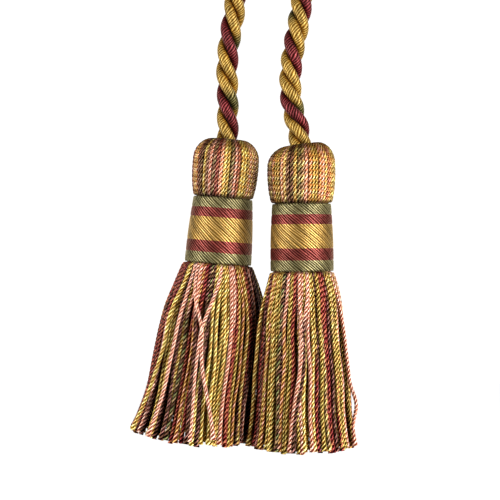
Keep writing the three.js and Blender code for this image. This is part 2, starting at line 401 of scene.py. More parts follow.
def filled_mesh(name, points, corners_of, totals):
    """A new mesh from points, all faces' corners in a row, and each face's number of corners."""
    mesh = bpy.data.meshes.new(name)
    mesh.vertices.add(len(points))
    mesh.vertices.foreach_set("co", (points * METRES).astype(np.float32).ravel())
    mesh.loops.add(len(corners_of))
    mesh.loops.foreach_set("vertex_index", corners_of.astype(np.int32))
    mesh.polygons.add(len(totals))
    mesh.polygons.foreach_set("loop_start", (np.cumsum(totals) - totals).astype(np.int32))
    mesh.polygons.foreach_set("loop_total", totals.astype(np.int32))
    return mesh


def crease_grooves(mesh, crest):
    """Makes the edges that run along grooves sharp, so that each ply is shaded round."""
    ends = np.empty(2 * len(mesh.edges), np.int32)
    mesh.edges.foreach_get("vertices", ends)
    in_groove = (crest[ends] == 0).reshape(-1, 2).all(axis=1)
    sharp = mesh.attributes.new("sharp_edge", "BOOLEAN", "EDGE")
    sharp.data.foreach_set("value", in_groove)


def add_uv(mesh, name, places):
    layer = mesh.uv_layers.new(name=name, do_init=False)
    layer.uv.foreach_set("vector", places.astype(np.float32).ravel())


def add_tint(mesh, tints):
    layer = mesh.color_attributes.new("tint", "FLOAT_COLOR", "POINT")
    colours = np.concatenate([tints, np.ones((len(tints), 1))], axis=1)
    layer.data.foreach_set("color", colours.astype(np.float32).ravel())


def add_crest(mesh, crest):
    layer = mesh.attributes.new("crest", "FLOAT", "POINT")
    layer.data.foreach_set("value", crest.astype(np.float32).ravel())


def finished_piece(name, mesh, materials):
    mesh.validate()
    for material in materials:
        mesh.materials.append(material)
    piece = bpy.data.objects.new(name, mesh)
    bpy.context.scene.collection.objects.link(piece)
    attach(piece, "root")
    return piece


# Materials

SATIN_TINT = (1.0, 0.93, 0.75, 1.0)
SATIN_SPECULAR = 0.1
BUMP_DISTANCE = 0.0001

# Yarns: scales of noise are round and along a ply, ranges go from the grooves to the crests
YARN_METALLIC = 0.45
YARN_BUMP = 0.35
CREST_HIGHLIGHT_POWER = 0.5  # on the dye, which makes crests paler as painted highlight
UNEVEN_SCALE = (2.0, 0.35, 1.0)
UNEVEN_DETAIL = 2.0
UNEVEN_SHADES = (0.78, 1.22)
FIBRE_DETAIL = 3.0
FIBRE_ROUGHNESS = (-0.06, 0.1)
SHEEN_ROUGHNESS = 0.35
CORD_FIBRES = {"fibre_scale": (20.0, 1.8, 1.0), "grain": 0.6, "roughness": 0.5, "sheen": 0.1}
TASSEL_FIBRES = {"fibre_scale": (24.0, 0.9, 1.0), "grain": 0.2, "roughness": 0.3, "sheen": 0.0}
# For each yarn: width of the grooves, the power on the dye there, which deepens it as painted shade,
# the shades in the grooves and on the crests, as painted shade and painted highlight, then its fibres
YARN_LOOKS = {
    "cord_yarn": {"groove_width": 1.0, "groove_shade_power": 1.9, "shades": (1.1, 1.28), **CORD_FIBRES},
    "tassel_yarn": {"groove_width": 2.2, "groove_shade_power": 2.6, "shades": (0.5, 1.28), **TASSEL_FIBRES},
    "head_yarn": {"groove_width": 1.4, "groove_shade_power": 2.7, "shades": (0.88, 1.14), **TASSEL_FIBRES},
}

# Braid: ranges go from the edges of a float to its crest; the powers and shades on the dye paint
# shade at the edges and a highlight on the crest
BRAID_METALLIC = 0.7
BRAID_BUMP = 0.3
BRAID_GROOVE_WIDTH = 2.5
BRAID_SHADE_POWERS = (1.5, 0.8)
BRAID_SHADE_AND_HIGHLIGHT = (0.62, 1.36)
BRAID_ROUGHNESS = (0.5, 0.33)
BRAID_FIBRE_SCALE = (0.4, 1.3, 1.0)
BRAID_FIBRE_DETAIL = 2.0
BRAID_GRAIN = 0.55


def shader_of(name):
    """A new material with its node tree and Principled shader."""
    material = bpy.data.materials.new(name)
    material.use_nodes = True
    tree = material.node_tree
    return material, tree, tree.nodes["Principled BSDF"]


def attribute(tree, name, output):
    node = tree.nodes.new("ShaderNodeAttribute")
    node.attribute_name = name
    return node.outputs[output]


def noise_on(tree, scale, detail):
    """Noise on the piece's own map, stretched by scale."""
    place = tree.nodes.new("ShaderNodeUVMap")
    place.uv_map = "yarn"
    mapping = tree.nodes.new("ShaderNodeMapping")
    mapping.inputs["Scale"].default_value = scale
    noise = tree.nodes.new("ShaderNodeTexNoise")
    noise.inputs["Scale"].default_value = 1.0
    noise.inputs["Detail"].default_value = detail
    tree.links.new(place.outputs["UV"], mapping.inputs["Vector"])
    tree.links.new(mapping.outputs["Vector"], noise.inputs["Vector"])
    return noise.outputs["Fac"]


def ranged(tree, value, low, high):
    """A value from 0 to 1 spread between low and high."""
    node = tree.nodes.new("ShaderNodeMapRange")
    node.inputs["To Min"].default_value = low
    node.inputs["To Max"].default_value = high
    tree.links.new(value, node.inputs["Value"])
    return node.outputs["Result"]


def steeper(tree, value, power):
    """A value from 0 to 1 raised to a power, which keeps its ends."""
    node = tree.nodes.new("ShaderNodeMath")
    node.operation = "POWER"
    node.inputs[1].default_value = power
    tree.links.new(value, node.inputs[0])
    return node.outputs["Value"]


def product_node(tree, shade):
    """A node that multiplies the colour in its socket A by a shade."""
    node = tree.nodes.new("ShaderNodeMix")
    node.data_type = "RGBA"
    node.blend_type = "MULTIPLY"
    node.inputs["Factor"].default_value = 1.0
    tree.links.new(shade, node.inputs["B"])
    return node


def times(tree, colour, shade):
    """A colour darkened or lightened by a grey value."""
    node = product_node(tree, shade)
    tree.links.new(colour, node.inputs["A"])
    return node.outputs["Result"]


def richer(tree, colour, power):
    """A colour raised to a power that varies: deeper and richer above 1, paler below 1."""
    node = tree.nodes.new("ShaderNodeGamma")
    tree.links.new(colour, node.inputs["Color"])
    tree.links.new(power, node.inputs["Gamma"])
    return node.outputs["Color"]


def satin_finish(tree, shader, colour, roughness, relief, bump_strength):
    """Joins what varies over a satin to its shader, with the warm shine of the fibres."""
    bump = tree.nodes.new("ShaderNodeBump")
    bump.inputs["Strength"].default_value = bump_strength
    bump.inputs["Distance"].default_value = BUMP_DISTANCE
    tree.links.new(relief, bump.inputs["Height"])
    tree.links.new(colour, shader.inputs["Base Color"])
    tree.links.new(roughness, shader.inputs["Roughness"])
    tree.links.new(bump.outputs["Normal"], shader.inputs["Normal"])
    shader.inputs["Specular IOR Level"].default_value = SATIN_SPECULAR
    shader.inputs["Specular Tint"].default_value = SATIN_TINT


def satin_yarn(name, groove_width, groove_shade_power, shades, fibre_scale, grain, roughness, sheen):
    """Bright twisted yarn with fine fibres along it: its dye paled on the crests as painted
    highlight, deepened and darkened in the grooves as painted shade.
    """
    material, tree, shader = shader_of(name)
    relief = steeper(tree, attribute(tree, "crest", "Fac"), groove_width)
    # Painted shade in the grooves and painted highlight on the crests
    power = ranged(tree, relief, groove_shade_power, CREST_HIGHLIGHT_POWER)
    colour = richer(tree, attribute(tree, "tint", "Color"), power)
    colour = times(tree, colour, ranged(tree, relief, *shades))
    uneven = noise_on(tree, UNEVEN_SCALE, UNEVEN_DETAIL)
    colour = times(tree, colour, ranged(tree, uneven, *UNEVEN_SHADES))
    fibres = noise_on(tree, fibre_scale, FIBRE_DETAIL)
    colour = times(tree, colour, ranged(tree, fibres, 1 - grain, 1 + grain))
    smoother, rougher = FIBRE_ROUGHNESS
    varied = ranged(tree, fibres, roughness + smoother, roughness + rougher)
    satin_finish(tree, shader, colour, varied, fibres, YARN_BUMP)
    shader.inputs["Metallic"].default_value = YARN_METALLIC
    shader.inputs["Sheen Weight"].default_value = sheen
    shader.inputs["Sheen Roughness"].default_value = SHEEN_ROUGHNESS
    return material


def woven_stripe(name, dye):
    """Satin floats of one stripe of the band, with painted shade at the floats' edges and a painted
    highlight on their crests.
    """
    material, tree, shader = shader_of(name)
    dyed = product_node(tree, attribute(tree, "tint", "Color"))
    dyed.inputs["A"].default_value = (*dye, 1.0)
    relief = steeper(tree, attribute(tree, "crest", "Fac"), BRAID_GROOVE_WIDTH)
    # Painted shade at the floats' edges and painted highlight on their crests
    colour = richer(tree, dyed.outputs["Result"], ranged(tree, relief, *BRAID_SHADE_POWERS))
    colour = times(tree, colour, ranged(tree, relief, *BRAID_SHADE_AND_HIGHLIGHT))
    fibres = noise_on(tree, BRAID_FIBRE_SCALE, BRAID_FIBRE_DETAIL)
    colour = times(tree, colour, ranged(tree, fibres, 1 - BRAID_GRAIN, 1 + BRAID_GRAIN))
    varied = ranged(tree, relief, *BRAID_ROUGHNESS)
    satin_finish(tree, shader, colour, varied, fibres, BRAID_BUMP)
    shader.inputs["Metallic"].default_value = BRAID_METALLIC
    return material


# Cord

# Its middle line from the left head over the crown to the right head
CORD_ROUTE = (
    (-13.55, 5.4, -78.7),
    (-13.5, 4.8, -71),
    (-13.5, 4.3, -64),
    (-13.7, 3.8, -57),
    (-13.3, 3.2, -50),
    (-12.3, 2.6, -43),
    (-11.1, 2, -36),
    (-10.6, 1.5, -29),
    (-11.2, 1, -22),
    (-12.7, 0.6, -15),
    (-13.6, 0.3, -8),
    (-11.2, 0.1, -1.8),
    (-6.3, 0, 2.1),
    (0, 0, 3.75),
    (6.6, 0, 2.2),
    (11.8, -0.1, -2),
    (14.4, -0.5, -8.4),
    (14.4, -1, -15.4),
    (13.3, -1.5, -22.4),
    (12.1, -1.9, -29),
    (10.9, -2.4, -36),
    (9.8, -2.9, -43),
    (8.4, -3.4, -50),
    (7.5, -3.9, -57),
    (7.3, -4.4, -64),
    (8.3, -4.9, -71),
    (10, -5.3, -77.5),
)
ROUTE_SAMPLES = 4000
CORD_RING_STEP = 0.13
SOCKET_DEPTH = 2.6
PLY_RADIUS = 1.76
PLY_MIDDLE = CORD_RADIUS - PLY_RADIUS
PLY_SIDES = 20
PLY_DYES = ("wine", "gold", "gold")
LAY_SHARES = (0, 0.36, 0.64, 1)  # of the cord's length, and the turns of the plies up to there
LAY_TURNS = (0, 3.02, 5.7, 9.16)
FIRST_PLY_TURNS = 0.51  # from the front, at the cord's left end
# Where gold plies turn to moss: the ply, and the share of the cord's length
MOSS_RUNS = ((1, 0.08), (1, 0.18), (2, 0.3), (1, 0.42), (2, 0.55), (1, 0.66), (2, 0.76), (2, 0.93))
MOSS_REACH = (0.005, 0.025)  # from a run's middle: all moss up to the first, none past the second
THREADS = 6  # wound side by side round each ply
THREAD_PITCH = 4.2
THREAD_RELIEF = 0.1
THREAD_SLACK = 0.16  # how far the threads stray from even spacing, in threads
SLACK_LENGTHS = (5.3, 2.9)
SLACK_PHASE = 2  # from ply to ply, in radians
THREAD_SHADES = 0.6  # how far apart the shades of threads are
PLY_GAP = (2.1, 3.5)  # from the cord's middle: in the gap between plies, and out of it
GAP_SHADE_POWER = 0.9  # added to the power on a dye in the gap, which makes it deeper and richer as painted shade
GAP_BOUNCE_LIGHT = 2.2  # how much that richer dye is brightened, as painted bounce light
GAP_CREST = 0.6  # the threads' ridges, painted as shade and highlight, fade towards this in the gap
GAP_FADE = 0.8


def route_points():
    """The cord's middle line at even steps, its ends sunk in the heads."""
    ends = []
    for tassel in TASSELS.values():
        sunk = tassel["head_height"] - SOCKET_DEPTH + PIECE_GAP
        ends.append(hung(tassel, np.array([0.0, 0.0, sunk])))
    dense = sampled(np.vstack([ends[0], CORD_ROUTE, ends[1]]), ROUTE_SAMPLES)
    along = lengths_along(dense)
    even = np.linspace(0, along[-1], round(along[-1] / CORD_RING_STEP))
    return np.stack([np.interp(even, along, dense[:, axis]) for axis in range(3)], axis=-1)


def carried_normals(line, first):
    """Directions along a line, and one across it carried along without turning round it."""
    ahead = unit(np.gradient(line, axis=0))
    normals = []
    carried = np.array(first)
    for tangent in ahead:
        carried = unit(carried - np.dot(carried, tangent) * tangent)
        normals.append(carried)
    return ahead, np.array(normals)


def ply_tints(rings):
    """Dyes of the plies along the cord, with runs of moss in those of gold."""
    share = np.linspace(0, 1, rings)
    tints = np.stack([np.tile(CORD_DYES[dye], (rings, 1)) for dye in PLY_DYES])
    for ply, place in MOSS_RUNS:
        run = 1 - ease(np.abs(share - place), *MOSS_REACH)
        tints[ply] += run[:, None] * (CORD_DYES["moss"] - tints[ply])
    return tints


def wound_plies(lines, outward):
    """Points of round plies along lines, the ridges of their threads, and the threads' numbers."""
    angle = TURN * (np.arange(PLY_SIDES) / PLY_SIDES - 0.5)
    along = lengths_along(lines)[..., None]
    phase = SLACK_PHASE * np.arange(len(lines))[:, None, None]
    slack = sum(np.sin(TURN * along / length + phase) for length in SLACK_LENGTHS)
    thread = THREADS * (angle / TURN - along / THREAD_PITCH) + THREAD_SLACK * slack
    ridge = 0.5 + 0.5 * np.cos(TURN * thread)
    points = round_about(lines, outward, angle, PLY_RADIUS - THREAD_RELIEF * (1 - ridge))
    return points, ridge, np.round(thread)


def make_cord(material):
    line = route_points()
    ahead, normal = carried_normals(line, (0, -1, 0))
    across = np.cross(ahead, normal)
    turns = np.interp(np.linspace(0, 1, len(line)), LAY_SHARES, LAY_TURNS)
    ply = np.arange(len(PLY_DYES))[:, None]
    angles = TURN * (FIRST_PLY_TURNS - turns + ply / len(PLY_DYES))
    outward = np.cos(angles)[..., None] * normal + np.sin(angles)[..., None] * across
    points, crest, thread = wound_plies(line + PLY_MIDDLE * outward, outward)
    shade = 1 + THREAD_SHADES * chance(thread, 2)
    in_gap = 1 - ease(np.linalg.norm(points - line[:, None, :], axis=-1), *PLY_GAP)
    tint = ply_tints(len(line))[:, :, None, :] * shade[..., None]
    # Painted shade in the gap between plies, a deeper and richer dye brightened again as painted
    # bounce light; the threads' painted ridges fade there
    tint = tint ** (1 + GAP_SHADE_POWER * in_gap)[..., None] * (1 + (GAP_BOUNCE_LIGHT - 1) * in_gap)[..., None]
    crest = crest + (GAP_CREST - crest) * GAP_FADE * in_gap
    cord = tube_mesh("twisted_cord", [{"points": points, "tint": tint, "crest": crest}], material)
    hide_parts("cord")


# Heads

HEAD_RADIUS = 11.3
# The outline from the band up, as shares of a head's height and radius
HEAD_OUTLINE = (
    (0.02, 0.88),
    (0.13, 0.94),
    (0.36, 0.99),
    (0.58, 1.0),
    (0.74, 0.98),
    (0.86, 0.89),
    (0.95, 0.74),
    (1.0, 0.5),
)
# Its ends, as radius and height: inside the band from the neck, and in the socket from the collar
HEAD_FOOT = ((-0.3, -2.0), (-0.1, -0.4), (0.0, 0.05))
HEAD_LIP = ((0.0, -0.4), (-0.5, -1.6))
NECK_GAP = 0.15  # between the neck and the band
OUTLINE_SAMPLES = 400
HEAD_YARNS = 56
HEAD_YARN_SHARE = 0.62  # a yarn's radius over the yarns' pitch, held between the radii below
HEAD_YARN_RADII = (0.36, 1.1 * YARN_RADIUS)
HEAD_RING_STEP = 0.5
HEAD_PLY_POINTS = 3
HEAD_JITTER = 0.07  # how uneven the yarns stand, as a share of their pitch
HEAD_SLANT = 0.07  # how far a yarn drifts round the head on its way up, in radians
HEAD_BOW = 0.024  # how far the middles of yarns stray besides
HEAD_TWIST_SPREAD = 0.8  # how far the twists of yarns side by side differ, in radians
HEAD_BLEND = 0.25  # how much of its neighbours' dyes shows in a yarn
# Shade of the yarns' ends, light added between, and the shares of a yarn where it comes and goes
HEAD_SHADE = 0.36
HEAD_LIGHT = 0.5
LIGHT_COMES = (0.04, 0.2)
LIGHT_GOES = (0.66, 0.98)
# How far the painted groove shade and crest highlight are evened out at the band and at the shoulder,
# and where that changes; the yarns' shape stays as it is
HEAD_STRETCH = (0.16, 0.5)
STRETCH_SHARES = (0.45, 0.8)
STRETCHED_CREST = 0.6
CORE_SAMPLES = 24
CORE_INSET = 1.1
CORE_FOOT = 1.4  # how far the core goes down past the yarns' ends in the socket
CORE_SHADE = 0.5
CORE_CREST = 0.3


def head_profile(tassel, samples):
    """Radius and height along a head's outline, from inside the band to inside the socket."""
    heights, radii = np.array(HEAD_OUTLINE).T
    outside = np.stack([radii * HEAD_RADIUS, heights * tassel["head_height"]], axis=-1)
    neck = tassel["band_top"] - BAND_THICKNESS - NECK_GAP
    collar = CORD_RADIUS + YARN_RADIUS
    foot = np.array(HEAD_FOOT) + (neck, 0)
    lip = np.array(HEAD_LIP) + (collar, tassel["head_height"])
    return sampled(np.vstack([foot, outside, lip]), samples)


def facing_of(profile):
    """Directions out of a head at each point of its outline, as radius and height."""
    ahead = unit(np.gradient(profile, axis=0))
    return np.stack([ahead[:, 1], -ahead[:, 0]], axis=-1)


def on_head(tassel, radius, height, angle):
    """Points round a head, with the slope of its shoulders, where it hangs."""
    x = radius * np.cos(angle)
    rise = np.maximum(0, height / tassel["head_height"]) ** 2
    z = height + tassel["shoulder_slope"] * x * rise
    return hung(tassel, np.stack([x, radius * np.sin(angle), z], axis=-1))


def head_tints(side, share):
    """Tints along and round a head's yarns, darker at their ends and mixed with those beside."""
    middles = TURN * (np.arange(HEAD_YARNS) + 0.5) / HEAD_YARNS
    dyes = ply_dyes(yarn_kinds(HEAD_FRONTS[side], middles, salt=1, stray_share=0.0))
    beside = 0.5 * (np.roll(dyes, 1, axis=0) + np.roll(dyes, -1, axis=0))
    dyes = dyes + HEAD_BLEND * (beside - dyes)
    in_light = ease(share, *LIGHT_COMES) * (1 - ease(share, *LIGHT_GOES))
    shade = HEAD_SHADE + HEAD_LIGHT * in_light
    return yarn_tint(dyes, HEAD_PLY_POINTS)[:, None] * shade[:, None, None]


def head_yarns(side):
    tassel = TASSELS[side]
    length = lengths_along(head_profile(tassel, OUTLINE_SAMPLES))[-1]
    samples = round(length / HEAD_RING_STEP)
    profile = head_profile(tassel, samples)
    facing = facing_of(profile)
    pitch = TURN * profile[:, 0] / HEAD_YARNS
    thick = np.clip(HEAD_YARN_SHARE * pitch, *HEAD_YARN_RADII)
    middle = profile - facing * thick[:, None]
    beyond = middle + facing
    number = np.arange(HEAD_YARNS)
    share = np.linspace(0, 1, samples)
    start = TURN * (number + HEAD_JITTER * chance(number, 6)) / HEAD_YARNS
    bow = HEAD_BOW * scatter(number, 4)[:, None] * np.sin(TURN / 2 * share)
    angle = start[:, None] + HEAD_SLANT * (share - 0.5) + bow
    lines = on_head(tassel, middle[:, 0], middle[:, 1], angle)
    outward = on_head(tassel, beyond[:, 0], beyond[:, 1], angle) - lines
    radius = np.broadcast_to(thick, lines.shape[:2])
    twist = HEAD_TWIST_SPREAD * chance(number, 7)[:, None]
    points, crest = rope(lines, radius, outward, HEAD_PLY_POINTS, YARN_PITCH, twist)
    # Painted groove shade and crest highlight evened out towards the band and the shoulder
    at_band, at_shoulder = HEAD_STRETCH
    stretch = at_band + (at_shoulder - at_band) * ease(share, *STRETCH_SHARES)
    crest = crest + (STRETCHED_CREST - crest) * stretch[:, None]
    return {"points": points, "tint": head_tints(side, share), "crest": crest}


def head_core(tassel):
    """The dark inside of a head, seen only between its yarns: its tan dye halved as painted shade."""
    profile = head_profile(tassel, CORE_SAMPLES)
    inside = profile - CORE_INSET * facing_of(profile)
    inside = np.vstack([inside, inside[-1] - (0, CORE_FOOT)])
    angle = TURN * np.arange(HEAD_YARNS) / HEAD_YARNS
    points = on_head(tassel, inside[:, :1], inside[:, 1:], angle)[None]
    # Painted shade: half the tan dye
    tint = np.broadcast_to(CORE_SHADE * DYES["tan"], points.shape)
    return {"points": points, "tint": tint, "crest": np.full(points.shape[:-1], CORE_CREST)}


def make_head(side, material):
    head = tube_mesh(f"head_{side}", [head_yarns(side), head_core(TASSELS[side])], material)
    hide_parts(f"tassel_{side}")


# Skirts

# Rings of strands from the outside in: how many there are, their roots and reach as shares of the
# neck and the skirt, and for their meshes the points across a ply and the step along a strand
RINGS = (
    (86, 1.0, 1.0, 3, 0.53),
    (70, 0.82, 0.9, 2, 0.7),
    (40, 0.62, 0.72, 2, 1.3),
    (20, 0.4, 0.48, 2, 1.3),
    (8, 0.15, 0.2, 2, 1.3),
)
STRAY_SHARES = (0.08, 0.5, 0.5, 0.5, 0.5)  # of the strands, ring by ring
# Loose strands that lie on the skirt: the angles of root, middle and tip in degrees round the
# tassel, with 0 at the right and -90 in front, then how far a loop stands out, and the yarn
LOOSE_STRANDS = {
    "left": (
        (-122, -99, -78, 0.0, "pink"),
        (-115, -105, -101, 0.0, "salmon"),
        (-82, -101, -100, 0.0, "pink"),
        (-136, -140, -158, 0.0, "straw"),
        (-127, -126, -134, 0.0, "pink"),
        (72, 84, 80, 0.0, "olive"),
        (18, 15, 13, 0.0, "umber"),
        (8, 9, 10, 0.0, "brick"),
    ),
    "right": (
        (-30, -27, -27, 1.8, "salmon"),
        (-83, -91, -103, 0.0, "pink"),
        (-97, -94, -108, 0.0, "salmon"),
        (98, 88, 95, 0.0, "olive"),
        (50, 58, 62, 0.0, "tan"),
        (-168, -171, -174, 0.0, "gold"),
        (174, 177, 179, 0.0, "umber"),
    ),
}
LOOSE_LIFT = 1.5  # of loose strands off the skirt, and the drops over which it comes
LIFT_DROPS = (1, 22)
LOOP_DROPS = (35, 43, 51)  # start, middle and end of a loop
STRAND_MIDDLE = 0.4  # share of the length at which strands have their middle angles
RING_SALT = 70
LOOSE_SALT = 400
ROOT_DEPTH = 1.6  # how far above the band's foot a strand starts
ROOT_TAPER = 0.5  # its thickness there, as a share
FLARE_START = 0.2  # how far below the band the strands begin to open out
FLARE_LENGTH = 0.9
TAPER_END = 1.5 * FLARE_LENGTH
SWAY = 2.0  # how far a tip strays round the skirt, as a share of the strands' pitch
BOW = 0.4  # how far a middle strays besides half of that
CLUMPS = 13  # bunches of strands round a skirt
CLUMPING = 0.023  # how far a strand's middle drifts towards one, in radians
TIP_CLUMPING = 1.3  # how many times as far its tip does
CLUMP_PHASE = 2.2  # from ring to ring, in radians
REACH_SPREAD = 0.07
LENGTH_SPREAD = 0.016
RADIUS_SPREAD = 0.16
PITCH_SPREAD = 0.2
WAVE_HEIGHT = 0.25  # sideways waves of a strand
WAVE_LENGTH = 32.0
WAVE_SPREAD = 0.5
WAVE_DROPS = (2, 14)  # over which the waves begin
DEPTH_WAVE_HEIGHT = 0.6  # waves in and out of the skirt, against those sideways
DEPTH_WAVE_PACE = 1.3
TIP_SPLAY = 1.3  # how far apart the tips stray sideways
SPLAY_DROPS = (30, 60)
FRAY_LENGTH = 4.0
FRAY = 0.6  # how much thicker a strand is at its cut end
CHANGING_SHARE = 0.2  # of the strands, which change to the yarn so many places on
CHANGE_PLACES = 5
CHANGE_MIDDLE = 0.55  # where along a strand that is, how far it varies and how sudden it is
CHANGE_SPREAD = 0.9
CHANGE_HALF = 0.06
NO_CHANGE = 2.0  # past the end of any strand
TIP_SAMPLES = 40
TIP_ROUNDS = 3


def ring_of_strands(side, ring):
    """The strands of one ring, each a little off its even place."""
    count, root, share, ply_points, step = RINGS[ring]
    number = np.arange(count)
    angle = TURN * (number + 0.5 * (ring % 2)) / count
    clump = CLUMPING * np.sin(CLUMPS * angle + CLUMP_PHASE * ring)
    sway = SWAY * TURN / count * chance(number, ring)
    bow = 0.5 * sway + BOW * TURN / count * chance(number, ring + 1)
    middle = angle + bow + clump
    tip = angle + sway + TIP_CLUMPING * clump
    shorter = LENGTH_SPREAD * (chance(number, ring + 5) + 0.5)
    return {
        "angles": np.stack([angle, middle, tip], axis=-1),
        "root": root,
        "share": share * (1 - REACH_SPREAD * (chance(number, ring + 3) + 0.5))[:, None],
        "lift": 0.0,
        "loop": 0.0,
        "length": TASSELS[side]["strand_length"] * (1 - shorter),
        "kinds": yarn_kinds(SKIRT_FRONTS[side], angle, ring + 2, STRAY_SHARES[ring]),
        "salt": number + RING_SALT * ring,
        "ply_points": ply_points,
        "step": step,
    }


def loose_strands(side):
    roots, middles, tips, loops, kinds = zip(*LOOSE_STRANDS[side])
    number = np.arange(len(kinds))
    *_, ply_points, step = RINGS[0]
    return {
        "angles": np.radians(np.stack([roots, middles, tips], axis=-1)),
        "root": 1.0,
        "share": 1.0,
        "lift": LOOSE_LIFT,
        "loop": np.array(loops)[:, None],
        "length": TASSELS[side]["strand_length"] * (1 + LENGTH_SPREAD * scatter(number, 5)),
        "kinds": kinds,
        "salt": number + LOOSE_SALT,
        "ply_points": ply_points,
        "step": step,
    }


def angles_at(tassel, strands, drop):
    share = np.maximum(0, drop / tassel["strand_length"])
    root, middle, tip = (strands["angles"][:, column, None] for column in range(3))
    upper = root + (middle - root) * ease(share, 0, STRAND_MIDDLE)
    return upper + (tip - middle) * ease(share, STRAND_MIDDLE, 1)


def strand_points(tassel, strands, drop):
    """Middles of strands at drops below the band, in the tassel's frame."""
    drops, *halves = np.array(tassel["skirt"]).T
    left, right, depth = (smooth_through(np.maximum(0, drop), drops, half) for half in halves)
    open_out = ease(drop, FLARE_START, FLARE_START + FLARE_LENGTH)
    neck = tassel["band_foot"] - BAND_THICKNESS - PIECE_GAP - ROOT_TAPER * YARN_RADIUS
    root = neck * strands["root"]
    lift = strands["lift"] * ease(drop, *LIFT_DROPS)
    loop_start, loop_middle, loop_end = LOOP_DROPS
    loop = ease(drop, loop_start, loop_middle) * (1 - ease(drop, loop_middle, loop_end))
    off = lift + strands["loop"] * loop
    angle = angles_at(tassel, strands, drop)

    def reach(half):
        out = (half - YARN_RADIUS) * strands["share"]
        return root + (out - root) * open_out + off

    x = reach(np.where(np.cos(angle) < 0, left, right)) * np.cos(angle)
    y = reach(depth) * np.sin(angle)
    return np.stack([x, y, -BAND_HEIGHT - drop], axis=-1)


def tip_drops(tassel, strands):
    """The drop at which each strand's own length ends."""
    share = np.linspace(0, 1, TIP_SAMPLES)
    drop = strands["length"]
    for _ in range(TIP_ROUNDS):
        line = strand_points(tassel, strands, drop[:, None] * share)
        drop = drop * strands["length"] / lengths_along(line)[:, -1]
    return drop


def waved(points, angle, salt, drop):
    """Strands with slow waves sideways and in and out, none at the root, and with tips splayed."""
    pace = TURN / (WAVE_LENGTH * (1 + WAVE_SPREAD * scatter(salt, 8)))[:, None]
    swing = WAVE_HEIGHT * ease(drop, *WAVE_DROPS)
    aside = swing * np.sin(pace * drop + TURN * scatter(salt, 9)[:, None])
    aside = aside + TIP_SPLAY * chance(salt, 16)[:, None] * ease(drop, *SPLAY_DROPS)
    phase = TURN * scatter(salt, 10)[:, None]
    out = DEPTH_WAVE_HEIGHT * swing * np.sin(DEPTH_WAVE_PACE * pace * drop + phase)
    moved = points.copy()
    moved[..., 0] += out * np.cos(angle) - aside * np.sin(angle)
    moved[..., 1] += out * np.sin(angle) + aside * np.cos(angle)
    return moved


def strand_tints(strands, share):
    """Tints along strands: some change from one yarn to another on the way down."""
    salt = strands["salt"]
    kinds = strands["kinds"]
    first = ply_dyes(kinds)[:, None]
    after = ply_dyes(kinds[CHANGE_PLACES:] + kinds[:CHANGE_PLACES])[:, None]
    change_at = CHANGE_SPREAD * scatter(salt, 13) + CHANGE_MIDDLE
    change_at = np.where(scatter(salt, 12) > 0.5 - CHANGING_SHARE, change_at, NO_CHANGE)[:, None]
    change = ease(share, change_at - CHANGE_HALF, change_at + CHANGE_HALF)[..., None, None]
    return yarn_tint(first + change * (after - first), strands["ply_points"])


def strand_tubes(tassel, strands):
    tips = tip_drops(tassel, strands)[:, None]
    rings = round((tassel["strand_length"] + ROOT_DEPTH) / strands["step"])
    share = np.linspace(0, 1, rings)
    drop = -ROOT_DEPTH + (tips + ROOT_DEPTH) * share
    angle = angles_at(tassel, strands, drop)
    salt = strands["salt"]
    lines = hung(tassel, waved(strand_points(tassel, strands, drop), angle, salt, drop))
    outward = np.stack([np.cos(angle), np.sin(angle), np.zeros_like(angle)], axis=-1)
    taper = ROOT_TAPER + (1 - ROOT_TAPER) * ease(drop, 0, TAPER_END)
    fray = 1 + FRAY * ease(drop, tips - FRAY_LENGTH, tips)
    radius = YARN_RADIUS * taper * fray * (1 + RADIUS_SPREAD * scatter(salt, 11))[:, None]
    pitch = YARN_PITCH * (1 + PITCH_SPREAD * scatter(salt, 14))[:, None]
    twist = TURN * scatter(salt, 7)[:, None]
    points, crest = rope(lines, radius, outward, strands["ply_points"], pitch, twist)
    tint = np.broadcast_to(strand_tints(strands, share), points.shape)
    return {"points": points, "tint": tint, "crest": crest}


def make_skirt(side, material):
    tassel = TASSELS[side]
    rings = [ring_of_strands(side, ring) for ring in range(len(RINGS))]
    layers = {
        "skirt": [rings[0], loose_strands(side)],
        "underskirt": [rings[1]],
        "skirt_core": rings[2:],
    }
    for name, bundles in layers.items():
        groups = [strand_tubes(tassel, strands) for strands in bundles]
        piece = tube_mesh(f"{name}_{side}", groups, material)
        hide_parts(f"tassel_{side}")


# Bands

# Stripes from the foot up, as dyes and heights
STRIPES = (("moss", 3.6), ("wine", 3.9), ("gold", 7.8), ("wine", 3.2), ("moss", 3.5))
BAND_SWELL = 0.25  # how much fuller a band is at mid height
INNER_ROWS = 12  # of points down the inside of a band
FLOATS = 58  # slanting threads of the weave, side by side round a band
FLOAT_POINTS = 5
FLOAT_ROW = 0.5
FLOAT_HEIGHT = 0.2
FLOAT_SLANT_DEG = 50
FLOAT_WAVER = 0.017  # how far a float strays round the band, in radians
FLOAT_WAVE = 8.0  # the height over which it strays and comes back
FLOAT_PHASES = 0.7  # how unlike floats side by side are, in turns
FLOAT_SHADES = 0.6  # how far apart the shades of floats are
STRIPE_NOTCH = 0.16  # the floats of two stripes interlock by this much
STRIPE_GROOVE = 0.12


def stripe_rows():
    """Heights of the band's rows above its foot, and the stripe that lies over each row."""
    heights, stripes = [], []
    foot = 0.0
    for number, (_, height) in enumerate(STRIPES):
        rows = round(height / FLOAT_ROW)
        heights.extend(foot + height * np.arange(rows) / rows)
        stripes.extend([number] * rows)
        foot += height
    return np.array(heights + [foot]), np.array(stripes)


